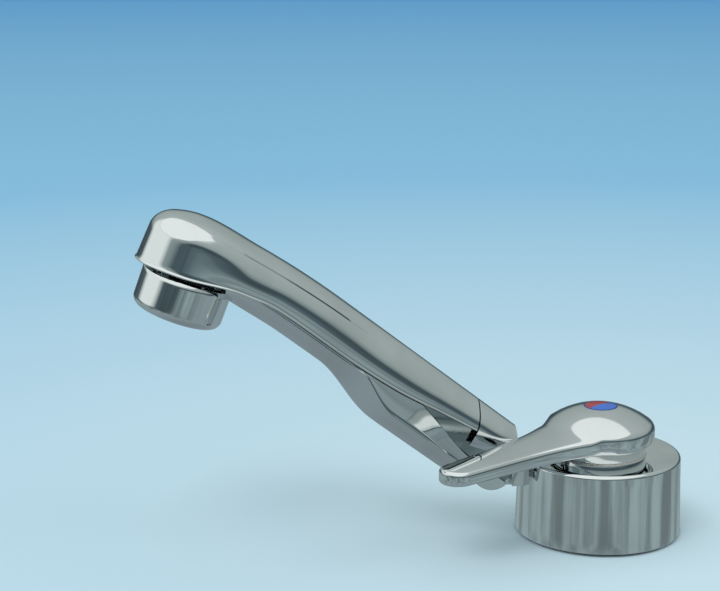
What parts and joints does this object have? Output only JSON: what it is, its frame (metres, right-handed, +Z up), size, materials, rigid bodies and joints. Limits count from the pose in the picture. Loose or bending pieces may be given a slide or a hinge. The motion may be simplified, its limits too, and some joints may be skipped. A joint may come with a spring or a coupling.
{
  "type": "single-lever mixer tap with fold-down spout",
  "caption": "Chromed deck-mounted mixer tap: a drum foot turns a folding spout with a short nozzle, and a flat lever on top sets flow and temperature.",
  "frame": {"origin": "on the tap's vertical axis, at the worktop's surface under the deck gasket", "axes": "+Z up along the tap's axis, -Y along the spout at rest, +X to the lever's side of the spout"},
  "size_m": [0.0652, 0.1812, 0.1749],
  "materials": {
    "chrome": "polished",
    "cast_brass": "machined casting",
    "plain_brass": "turned",
    "copper_pipe": "drawn copper",
    "stainless": "plain",
    "black_rubber": "matt",
    "white_plastic": "matt",
    "grey_plastic": "moulded",
    "dark_plastic": "moulded",
    "ceramic": "lapped ceramic",
    "index_blue": "glossy",
    "index_red": "glossy",
    "index_cold_blue": "glossy"
  },
  "bodies": {
    "base": {"core_body": "cast_brass", "deck_gasket": "black_rubber", "backing_gasket": "black_rubber", "backing_washer": "stainless", "fixing_nut": "plain_brass", "hot_inlet": "copper_pipe", "cold_inlet": "copper_pipe", "base_seals": "black_rubber", "cartridge_base": "grey_plastic", "fixed_disc": "ceramic", "cartridge_housing": "grey_plastic", "retaining_nut": "plain_brass", "neck_cap": "chrome", "swivel_seals": "black_rubber", "glide_ring": "white_plastic", "neck_bush": "white_plastic"},
    "collar": {"collar_sleeve": "cast_brass", "swivel_stop": "stainless", "collar_shell": "chrome", "hinge_bracket": "chrome", "bracket_screws": "stainless", "bracket_hood": "chrome", "hinge_spindle": "stainless", "hinge_washers": "white_plastic", "hinge_seals": "black_rubber"},
    "spout": {"spout_yoke": "dark_plastic", "spout_tube": "stainless", "upper_cover": "chrome", "lower_cover": "chrome", "cover_screw": "stainless", "outlet_elbow": "dark_plastic", "nozzle_housing": "chrome", "nozzle_seal": "black_rubber", "aerator_insert": "grey_plastic", "aerator_mesh": "stainless"},
    "lever_carrier": {"spindle_carrier": "grey_plastic", "pivot_pin": "stainless"},
    "disc": {"moving_disc": "ceramic", "disc_slider": "white_plastic"},
    "lever": {"lever_handle": "chrome", "lever_spindle": "plain_brass", "lever_screw": "stainless", "index_cap": "index_blue", "index_hot": "index_red", "index_cold": "index_cold_blue"}
  },
  "joints": [
    {"name": "spout_swivel", "type": "hinge", "parent": "base", "child": "collar", "pos_m": [0, 0, 0], "axis": [0, 0, 1], "range_deg": [-140, 0]},
    {"name": "spout_fold", "type": "hinge", "parent": "collar", "child": "spout", "pos_m": [0, -0.038, 0.0245], "axis": [1, 0, 0], "range_deg": [0, 33]},
    {"name": "lever_turn", "type": "hinge", "parent": "base", "child": "lever_carrier", "pos_m": [0, 0, 0], "axis": [0, 0, 1], "range_deg": [0, 90]},
    {"name": "lever_lift", "type": "hinge", "parent": "lever_carrier", "child": "lever", "pos_m": [0, 0, 0.027], "axis": [-0.866, -0.5, 0], "range_deg": [0, 16]},
    {"name": "disc_slide", "type": "slide", "parent": "lever_carrier", "child": "disc", "axis": [0.5, -0.866, 0], "range_m": [0, 0.0025]}
  ],
  "couplings": [
    {"joint": "disc_slide", "follows": "lever_lift", "m_per_rad": 0.008}
  ]
}
